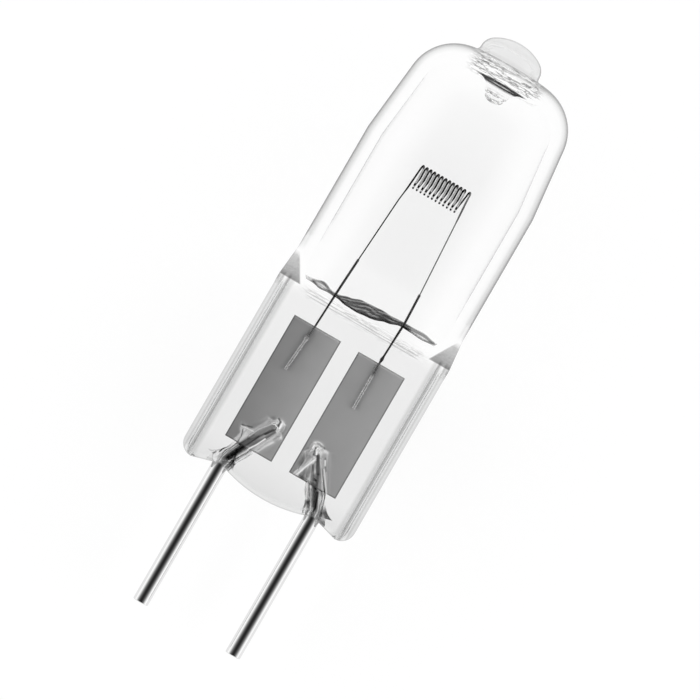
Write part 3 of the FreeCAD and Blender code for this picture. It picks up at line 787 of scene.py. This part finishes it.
def root_gap(side, sign):
    """The thin gap that the quartz leaves round a root as it cools, flared at its mouth."""
    line = evenly(root_line(sign)[2:-1], GAP_SPACING)
    line = [spot for spot in line if GAP_START < station_of(spot) < GAP_END]
    last = len(line) + 1

    def place(column, row):
        number = min(max(row - 1, 0), len(line) - 1)
        way = (line[min(number + 1, len(line) - 1)] - line[max(number - 1, 0)]).normalized()
        turn = 2 * math.pi * column / GAP_COLUMNS
        beside, up = math.cos(turn), math.sin(turn)
        station = station_of(line[number])
        wave = GAP_WAVE * noise.noise((beside * 1.2, up * 1.2, station * 1.5 + 9 * sign))
        flare = GAP_FLARE * math.exp((GAP_START - station) / GAP_FLARE_LENGTH)
        full = 0.0 if row in (0, last) else rounded(GAP_END + 0.02 - station, GAP_TAPER) * MM
        wide = (GAP_RADIUS + flare + wave) * full
        deep = (GAP_RADIUS - 0.3 * flare + wave) * full
        spot = line[number] + Vector((way.y, -way.x, 0)) * wide * beside + Vector((0, 0, deep * up))
        right = 1.0 if beside > 0 else 0.0
        strong = portion(0.6 + 1.5 * noise.noise((station * 1.7, 3 * sign, right)))
        # painted shade: a dark outline along the gap's sides and a dark wedge at its mouth
        outline = strong * bell(abs(beside), OUTLINE_EDGE, OUTLINE_WIDTH)
        wedge = ramp(station, 10.25, 9.9) * ramp(beside, 0.45, 0.75)
        clear = (1 - OUTLINE_TONE * outline) * (1 - WEDGE_TONE * wedge)
        # painted dark lines of shade over the root, in the quartz above the gap
        if up > 0 and station_of(spot) < FOIL_BOTTOM:
            clear *= lines_drawn(side, sign * spot.x / MM, station_of(spot))[0] ** 1.5
        return spot, {"clear": clear, **GAP_LOOKS}

    return turned_inward(wrapped_grid(f"{side}_gap", GAP_COLUMNS, last, place))


def skin(name, rows, crossings):
    """A closed skin from its rings, each with a function that gives a spot on it and its looks."""
    columns = ring_columns(crossings)

    def place(column, row):
        spot, where = rows[row]
        return spot(*columns[column], where)

    return wrapped_grid(name, len(columns) - 1, len(rows) - 1, place)


def envelope(material):
    """The whole quartz body: its outer skin, and the skins of the spaces inside it turned inward."""
    outer = skin("quartz_body", outer_rows(), CROSSINGS)
    rows = [(slit_spot, step / SLIT_ROWS) for step in range(SLIT_ROWS + 1)]
    rows += [(inner_wall_spot, point) for point in hollow_profile()]
    spaces = [turned_inward(skin("sealed_space", rows, HOLLOW_CROSSINGS))]
    spaces += [root_gap("left", -1), root_gap("right", 1)]
    bpy.ops.object.select_all(action="DESELECT")
    for piece in (outer, *spaces):
        piece.select_set(True)
    bpy.context.view_layer.objects.active = outer
    bpy.ops.object.join()
    return finish_piece(outer, material, ["quartz_envelope"])


# The metal pieces

PIN_RADIUS, PIN_CHAMFER, PIN_SIDES, PIN_CREASE = 0.5, 0.04, 48, 25
PIN_HALFWAY, PIN_STRAIGHT, ROOT_BEND, ROOT_STEPS = 4.6, 9.23, 2.0, 12
ROOT_LEAN, ROOT_END, ROOT_CONE, ROOT_TIP = math.radians(28), (1.425, 13.02), 0.28, 0.3


def root_point(past):
    """A place on the root's middle line, so far past the end of its full thickness."""
    return ROOT_END[0] - past * math.sin(ROOT_LEAN), ROOT_END[1] + past * math.cos(ROOT_LEAN)


def root_line(sign):
    """The pin's middle line, from its free end to the end of its root."""
    line = [(PIN_ACROSS, station) for station in (0.0, PIN_CHAMFER, PIN_HALFWAY)]
    for step in range(ROOT_STEPS + 1):
        angle = ROOT_LEAN * step / ROOT_STEPS
        across = PIN_ACROSS - ROOT_BEND * (1 - math.cos(angle))
        line.append((across, PIN_STRAIGHT + ROOT_BEND * math.sin(angle)))
    return [at(sign * across, station) for across, station in (*line, ROOT_END, root_point(ROOT_CONE))]


def pin(side, sign, material):
    """A straight pin whose root bends towards the lamp's middle line inside the seal."""
    line = root_line(sign)
    radii = [PIN_RADIUS - PIN_CHAMFER] + [PIN_RADIUS] * (len(line) - 2) + [ROOT_TIP]
    piece = swept(f"{side}_pin", list(zip(line, radii)), PIN_SIDES)
    finish_piece(piece, material, [f"pin_{side}"], angle=PIN_CREASE)


LEG_RADIUS, WIRE_RADIUS, FRONT_WIRE_RADIUS = 0.039, 0.056, 0.062
COIL_TOP, COIL_BOTTOM, COIL_HALF = 31.04, 29.45, 0.3
COIL_START, COIL_PITCH, COIL_TURNS, LAST_TURN_SHIFT, BEND_STEPS = -1.6, 0.259, 13, 0.08, 8
# how far across a turn's strands lie: behind and in front at the top, in front and behind at the foot, and
# halfway up behind
BEHIND_TOP, FRONT_TOP, FRONT_FOOT, BEHIND_FOOT, BEHIND_BULGE = -0.066, 0.08, 0.105, 0.12, 0.207
# across, station and height of each leg, from its weld up to the coil
LEGS = {
    "left": ((-2.66, 16.35, 0.145), (-2.40, 19.45, 0.145), (-2.27, 22.3, 0.145), (-2.16, 24.2, 0.08),
             (-1.88, 28.5, -0.12), (-1.77, 29.4, -0.2), (-1.75, 29.67, -0.23), (-1.672, 30.7, -0.242)),
    "right": ((2.03, 16.35, 0.145), (2.02, 19.45, 0.145), (2.13, 22.3, 0.145), (2.06, 24.2, 0.16),
              (1.805, 28.5, 0.22), (1.75, 29.4, 0.235), (1.655, 30.7, 0.242)),
}
WIRE_STEP, WIRE_SIDES = 0.4, 10
# the fine wire wound over each leg: over its weld, sealed in the quartz and in the clear, with one knot
SLEEVE_TOP, SLEEVE_STEP, SLEEVE_PITCH, SLEEVE_SIDES = 24.2, 0.022, 0.11, 12
WELDED_RADIUS, SEALED_RADIUS, SLEEVE_RADIUS = 0.1, 0.062, 0.076
KNOTS, KNOT_LENGTH, KNOT_SWELL = {"left": 18.6, "right": 19.75}, 0.14, 0.75


def coil_line():
    """The middle line of the flat coil, turn by turn: up behind, over, down in front and under."""
    bend = COIL_HALF - FRONT_WIRE_RADIUS
    upper, lower = COIL_TOP - COIL_HALF, COIL_BOTTOM + COIL_HALF
    angles = [math.pi * step / BEND_STEPS for step in range(BEND_STEPS + 1)]
    line = []
    for turn in range(COIL_TURNS):
        top = COIL_START + COIL_PITCH * turn + (LAST_TURN_SHIFT if turn == COIL_TURNS - 1 else 0.0)
        for angle in angles:
            across = top + mix(BEHIND_TOP, FRONT_TOP, (1 - math.cos(angle)) / 2)
            line.append((across, upper + bend * math.sin(angle), -bend * math.cos(angle)))
        if turn < COIL_TURNS - 1:
            for angle in angles:
                across = top + mix(FRONT_FOOT, BEHIND_FOOT, angle / math.pi)
                line.append((across, lower - bend * math.sin(angle), bend * math.cos(angle)))
            line.append((top + BEHIND_BULGE, (upper + lower) / 2, -bend))
    return line


def filament(material):
    """One wire: up the left leg, through the coil and down the right leg."""
    line = [*LEGS["left"], *coil_line(), *reversed(LEGS["right"])]
    stops = []
    for spot in evenly([at(*point) for point in line], WIRE_STEP):
        front = ramp(spot.z / MM - MIDDLE_HEIGHT, -0.1, 0.15)
        coiled = ramp(station_of(spot), 29.1, 29.5)
        stops.append((spot, mix(LEG_RADIUS, mix(WIRE_RADIUS, FRONT_WIRE_RADIUS, front), coiled)))
    finish_piece(swept("tungsten_wire", stops, WIRE_SIDES), material, ["filament"])


def leg_sleeve(side, material):
    """The fine wire wound over the lower part of a leg."""
    points = [at(*point) for point in LEGS[side] if point[1] <= SLEEVE_TOP]
    stops = []
    for spot in evenly(points, SLEEVE_STEP):
        station = station_of(spot)
        radius = mix(WELDED_RADIUS, SEALED_RADIUS, ramp(station, 18.8, 19.6))
        radius = mix(radius, SLEEVE_RADIUS, ramp(station, 20.8, 21.8))
        stops.append((spot, radius * (1 + KNOT_SWELL * bell(station, KNOTS[side], KNOT_LENGTH))))
    turn = 2 * math.pi * SLEEVE_STEP / SLEEVE_PITCH
    piece = swept(f"{side}_winding", stops, SLEEVE_SIDES, thread=turn)
    finish_piece(piece, material, [f"leg_sleeve_{side}"])


FOIL_INNER, FOIL_OUTER, FOIL_BOTTOM, FOIL_TOP, FOIL_HALF = 0.6, 3.8, 11.15, 19.45, 0.025
FOIL_COLUMNS, FOIL_LOW_ROWS, FOIL_ROWS = 192, 90, 116
FOLDS_TOP, FOLDS_EASE, EDGE_SHARE = 14.6, 0.6, 0.001
# the folds of each foil beside its root: where a fold starts and ends, its height at both, and how wide it is
FOLDS = {
    "left": (((2.62, 11.75), (3.2, 12.22), 0.42, 0.05, 0.2), ((2.9, 10.9), (2.75, 11.9), 0.4, 0.3, 0.2)),
    "right": (((1.05, 11.0), (1.5, 12.6), 0.2, 0.4, 0.16), ((2.95, 11.0), (1.95, 12.9), 0.3, 0.25, 0.12)),
}
# from where to where the foil drapes over its root, and how far above the metal
DRAPE_BELOW, DRAPE_PAST, DRAPE_GAP = 3.6, 0.2, 0.04
# where the foil leaves a rod, as shares of the rod's radius, and how steeply it falls from there
DRAPE_EDGE, DRAPE_HEIGHT, DRAPE_FALL = 0.84, 0.54, 1.56
CRUMPLE, DENT = 0.16, 0.06


def draped(distance, radius):
    """The height of foil laid over a rod: round on top, and then falling away to the bed."""
    edge, height = DRAPE_EDGE * radius, DRAPE_HEIGHT * radius
    if distance < edge:
        return math.sqrt(radius**2 - distance**2)
    return height * math.exp((edge - distance) * DRAPE_FALL / height)


def foil_height(side, x, station):
    """The height of a foil over its root, with its folds and its crumpled sides."""
    foot, tip = root_point(-DRAPE_BELOW), root_point(DRAPE_PAST)
    beside, share = near_line((x, station), foot, tip)
    height = draped(beside, mix(PIN_RADIUS, ROOT_TIP, ramp(share, 0.92, 1.0)) + DRAPE_GAP)
    beside *= 1 if (x - tip[0]) * math.cos(ROOT_LEAN) > (tip[1] - station) * math.sin(ROOT_LEAN) else -1
    for start, end, first, last, width in FOLDS[side]:
        distance, part = near_line((x, station), start, end)
        height = math.hypot(height, mix(first, last, part) * bell(distance, 0.0, width))
    crumple = noise.noise((beside * 5.0, share * 3.0, 1.0 if side == "left" else 7.0))
    dent = noise.noise((x * 3.0, station * 3.0, 4.0))
    return height * (1 + CRUMPLE * crumple + DENT * dent)


def kept_thin(step, steps):
    """How far along an even row of steps is, with its first and last step kept as thin as an edge."""
    if step in (0, steps):
        return step / steps
    return mix(EDGE_SHARE, 1 - EDGE_SHARE, (step - 1) / (steps - 2))


def foil(side, sign, material):
    """A thin foil, flat above and laid over the pin's root below, with feathered edges."""
    half, high_rows = FOIL_COLUMNS // 2, FOIL_ROWS - FOIL_LOW_ROWS

    def place(column, row):
        step = min(column, FOIL_COLUMNS - column)
        x = mix(FOIL_INNER, FOIL_OUTER, kept_thin(step, half))
        if row <= FOIL_LOW_ROWS:
            station = mix(FOIL_BOTTOM, FOLDS_TOP, kept_thin(row, 2 * FOIL_LOW_ROWS) * 2)
        else:
            station = mix(FOIL_TOP, FOLDS_TOP, kept_thin(FOIL_ROWS - row, 2 * high_rows) * 2)
        thick = 0.0 if row in (0, FOIL_ROWS) or step in (0, half) else FOIL_HALF
        height = foil_height(side, x, station) * ramp(station, FOLDS_TOP, FOLDS_TOP - FOLDS_EASE)
        # painted dark lines of shade and painted highlights over the root
        clear, bright = lines_drawn(side, x, station) if station < FOLDS_TOP else (1.0, 0.0)
        looks = {"clear": clear, "marks": bright}
        return at(sign * x, station, height + (thick if column < half else -thick)), looks

    piece = wrapped_grid(f"{side}_foil", FOIL_COLUMNS, FOIL_ROWS, place)
    finish_piece(piece, material, [f"foil_{side}"])


# The finishes

# painted dark edge shade: how much light the quartz lets through, by how far it turns away from the eye
EDGE_TONES = ((0.0, 1.0), (0.6, 1.0), (0.72, 0.88), (0.81, 0.62), (0.89, 0.28), (1.0, 0.12))
QUARTZ_INDEX, QUARTZ_RED, QUARTZ_BLUE, QUARTZ_SHADOW = 1.458, 0.994, 0.998, 0.96
# how much the quartz mirrors where it turns away from the eye, and everywhere
SHINE_TOP, SHINE_FLAT = 0.5, 0.008
RIPPLE_SIZE, RIPPLE_DEPTH = 900.0, 0.0006
# painted streaks of shade in the floor of the bulb, drawn out along it
STREAK_SIZE, STREAK_TURN, STREAK_STRETCH = 3200.0, -0.1, (0.12, 1.0, 0.3)
STREAK_TONES = ((0.38, 1.0), (0.43, 0.3), (0.46, 1.0), (0.5, 0.0), (0.54, 1.0), (0.59, 0.2), (0.64, 1.0))
# the painted grey shade on the gusset at its foot and its tip, how much the streaked pattern varies it, and
# how soft its edges are
GUSSET_SHADE_FOOT, GUSSET_SHADE_TIP, GUSSET_SHADE_GRAIN = 0.4, 0.8, 0.25
EDGE_WIDTH = 0.06
# how wide the fine marks are, and how the painted shade on the floor of the bulb fades where it is seen flat
# on
MARK_WIDTH, GRAZING, STREAKS_LOST = 0.045, 0.55, 0.8
# the lines that the jaws press across the seal
PRESS_LINES, PRESS_LINE_HALF, PRESS_LINE_END, PRESS_LINE_TONE = (20.82, 20.98), 0.04, 4.0, 0.4


def quartz_finish():
    """Clear fused quartz, with a thin painted dark line of shade where it turns away from the eye.

    Where it is still it lets the light straight through, so that nothing behind it is displaced.
    """
    finish = new_finish("clear_quartz")

    def stepped(number):
        return (number / EDGE_WIDTH).portion()

    place = finish.node("TexCoord").outputs["Object"]
    across, station, _ = finish.where(place)
    across = across.absolute()
    # the gusset, which is painted grey shade and lets the light straight through
    rise = (station - SEAL_TOP) / (GUSSET_TOP - SEAL_TOP)
    inside = across - rise * (GUSSET_OUTER - GUSSET_INNER) - GUSSET_INNER
    gusset = stepped(inside) * stepped(station - SEAL_TOP) * stepped((1.0 - rise) * 0.3)

    # a streaked pattern for the painted shade on the floor of the bulb and on the gusset
    stretched = finish.node("Mapping", Vector=place, Rotation=(0.0, 0.0, STREAK_TURN), Scale=STREAK_STRETCH)
    fine = finish.node("TexNoise", Vector=stretched.outputs[0], Scale=STREAK_SIZE, Detail=3.0, Roughness=0.65)
    grain = finish.number(fine, "Fac")
    streak_shading = finish.line(STREAK_TONES, grain)
    off_line = grain - 0.5
    marks = (1.0 - off_line.absolute() / MARK_WIDTH).larger(0.0) * finish.look("marks")
    press_lines = 1.0
    for line in PRESS_LINES:
        away = (station - line + off_line * 0.15).absolute()
        seam = (1.0 - away / PRESS_LINE_HALF).larger(0.0) * stepped((PRESS_LINE_END - across) * 0.1)
        press_lines = (1.0 - seam * PRESS_LINE_TONE) * press_lines
    # painted grey shade on the gusset, lighter towards its tip
    gusset_shade = (rise * (GUSSET_SHADE_TIP - GUSSET_SHADE_FOOT) + GUSSET_SHADE_FOOT) * (1.0 - streak_shading * GUSSET_SHADE_GRAIN)

    # painted edge shade: the quartz is painted darker the more it turns away from the eye
    facing = finish.number(finish.node("LayerWeight", Blend=0.5), "Facing")
    turned = facing - finish.look("later")
    flat_on = 1.0 - (facing / GRAZING).smaller(1.0)
    # only the inner skins darken as late as this
    inner = ((finish.look("later") - 0.8) * 5.0).portion()
    # the painted shade that the mesh carries, which the inner skins lose where they are seen flat on
    painted_shade = 1.0 - (1.0 - finish.look("clear")) * (1.0 - inner * flat_on)
    streaks = streak_shading * finish.look("streaks") * (1.0 - flat_on * STREAKS_LOST)
    # the quartz's tone: painted edge shade, the painted shade that the mesh carries and that on the gusset,
    # and the press lines and fine lines
    tone = finish.line(EDGE_TONES, turned) * painted_shade * press_lines
    tone = tone * (1.0 - streaks) * (1.0 - marks) * (1.0 - gusset * (1.0 - gusset_shade))
    colour = finish.node("CombineColor", Red=tone * QUARTZ_RED, Green=tone, Blue=tone * QUARTZ_BLUE)

    waves = finish.node("TexNoise", Vector=place, Scale=RIPPLE_SIZE, Detail=2.0)
    ripples = finish.number(waves, "Fac") * finish.look("ripple")
    bump = finish.node("Bump", Strength=1.0, Distance=RIPPLE_DEPTH, Height=ripples)
    glass = finish.node(
        "BsdfPrincipled",
        Base_Color=colour.outputs[0],
        Roughness=0.0,
        IOR=QUARTZ_INDEX,
        Transmission_Weight=1.0,
        Normal=bump.outputs[0],
    )
    through = finish.node("BsdfTransparent", Color=grey(1))
    held_back = finish.node("BsdfDiffuse", Color=grey(0))
    mirror = finish.node("BsdfGlossy", Roughness=0.0)
    shadow = finish.node("BsdfTransparent", Color=grey(QUARTZ_SHADOW))
    # where the tone is painted dark, a black diffuse holds back the light that passes straight through
    passing = finish.blend(tone**0.5, held_back, through)
    straight = finish.blend(turned.larger(0.0) ** 5.0 * SHINE_TOP + SHINE_FLAT, passing, mirror)
    body = finish.blend(finish.look("still").larger(gusset), glass, straight)
    in_shadow = finish.number(finish.node("LightPath"), "Is Shadow Ray")
    return finish.surface(finish.blend(in_shadow, body, shadow))


# a metal is dull where its painted shade is darker than this
DULL_BELOW = 0.3


def metal_finish(name, tones, roughness, size, depth, shading=None, metallic=1.0, drawn=False):
    """A metal whose tone, polish and surface vary a little from place to place.

    A shading is painted light and shade: it gives how bright it is, and where it is painted dark it is dull
    too.
    A drawn metal carries the painted dark lines of shade and the painted highlight lines that are kept in its
    mesh.
    """
    finish = new_finish(name)
    place = finish.node("TexCoord").outputs["Object"]
    grain = finish.number(finish.node("TexNoise", Vector=place, Scale=size, Detail=3.0), "Fac")
    tone = grain * (tones[1] - tones[0]) + tones[0]
    polished = metallic
    if shading:
        bright = shading(finish, place)
        tone = tone * bright
        polished = (bright / DULL_BELOW).smaller(metallic)
    # a drawn metal carries painted dark lines of shade and painted highlights, and is dull where it is
    # painted bright
    if drawn:
        painted_highlight = finish.look("marks")
        tone = (tone * finish.look("clear")).larger(painted_highlight)
        polished = polished * (1.0 - painted_highlight)
    colour = finish.node("CombineColor", Red=tone, Green=tone, Blue=tone)
    bump = finish.node("Bump", Strength=1.0, Distance=depth, Height=grain)
    metal = finish.node(
        "BsdfPrincipled",
        Base_Color=colour.outputs[0],
        Metallic=polished,
        Roughness=grain * (roughness[1] - roughness[0]) + roughness[0],
        Specular_IOR_Level=0.0,
        Normal=bump.outputs[0],
    )
    return finish.surface(metal)


# painted light and shade on the coil: how bright it is along the lamp, from just below it, and by how far in
# front a strand lies
COIL_FOOT, COIL_SPAN, FRONT_TONES = 29.4, 2.0, ((0.3, 0.02), (0.42, 1.0))
COIL_TONES = ((0.0, 0.0), (0.075, 0.0), (0.095, 1.0), (0.12, 1.0), (0.14, 0.0), (0.2, 0.0), (0.24, 1.0),
              (0.68, 1.0), (0.72, 0.1), (0.8, 0.02))
# how far across the right leg starts, its painted grey shade and how soft its edge is
LEG_SIDE, LEG_TONE, LEG_EDGE = 1.63, 0.3, 0.02
# painted light and shade: how bright the winding is, from 1 mm below the foil's top up, and a foil's painted
# shade towards its edge
WINDING_TONES = ((0.0, 1.0), (0.15, 0.35), (0.5, 0.25), (0.56, 0.05))
FOIL_EDGE_TONES = ((0.03, 0.35), (0.1, 1.0))


def coil_shading(finish, place):
    """Painted light and shade: the turns' front strands are painted shining, and what lies behind, bends or
    runs as a leg is painted nearly black.
    """
    across, station, height = finish.where(place)
    front = finish.line(FRONT_TONES, height + COIL_HALF)
    turns = finish.line(COIL_TONES, (station - COIL_FOOT) / COIL_SPAN)
    leg = ((across - LEG_SIDE) / LEG_EDGE).portion()
    return front * (turns * (1.0 - leg) + leg * LEG_TONE)


def winding_shading(finish, place):
    """The winding is painted nearly black in shade in the clear, and painted brighter where it lies on its
    foil.
    """
    _, station, _ = finish.where(place)
    return finish.line(WINDING_TONES, (station - FOIL_TOP + 1.0) / 2.0)


def foil_shading(shades, left_edge):
    """Painted light on a foil: it grows lighter to the right, with thin painted dark edges of shade."""

    def shading(finish, place):
        across, station, _ = finish.where(place)
        across, width = across - left_edge, FOIL_OUTER - FOIL_INNER
        side = across.smaller(width - across).smaller(station - FOIL_BOTTOM).smaller(FOIL_TOP - station)
        return finish.line(FOIL_EDGE_TONES, side) * (across * ((shades[1] - shades[0]) / width) + shades[0])

    return shading


SOFTBOX_PLACE, SOFTBOX_SIZE, SOFTBOX_POWER = (0.5, 0.15, 0.38), (0.5, 0.7), 3.0
# painted light on each foil: its shade at its left and right edge, the left foil painted darker than the
# right
FOIL_SHADES, FOIL_METALLIC = {"left": (0.635, 0.95), "right": (0.82, 0.97)}, 0.7

add_camera()
light_the_world()
add_floor()
x, y, z = SOFTBOX_PLACE
add_lamp("left_softbox", (-x, -y, z), SOFTBOX_SIZE, SOFTBOX_POWER)
add_lamp("right_softbox", (x, y, z), SOFTBOX_SIZE, SOFTBOX_POWER)
envelope(quartz_finish())
pin_metal = metal_finish("pin_metal", (0.74, 0.84), (0.03, 0.09), 700.0, 2e-6)
winding_metal = metal_finish("winding_metal", (0.45, 0.85), (0.2, 0.35), 4000.0, 4e-6, winding_shading)
filament(metal_finish("filament_metal", (0.75, 0.98), (0.45, 0.6), 5000.0, 4e-6, coil_shading))
for side, sign in (("left", -1), ("right", 1)):
    pin(side, sign, pin_metal)
    leg_sleeve(side, winding_metal)
    shading = foil_shading(FOIL_SHADES[side], -FOIL_OUTER if sign < 0 else FOIL_INNER)
    look = {"shading": shading, "metallic": FOIL_METALLIC, "drawn": True}
    foil(side, sign, metal_finish(f"{side}_foil_metal", (0.9, 1.0), (0.2, 0.28), 900.0, 3e-6, **look))

bpy.context.scene.view_settings.view_transform = "Standard"
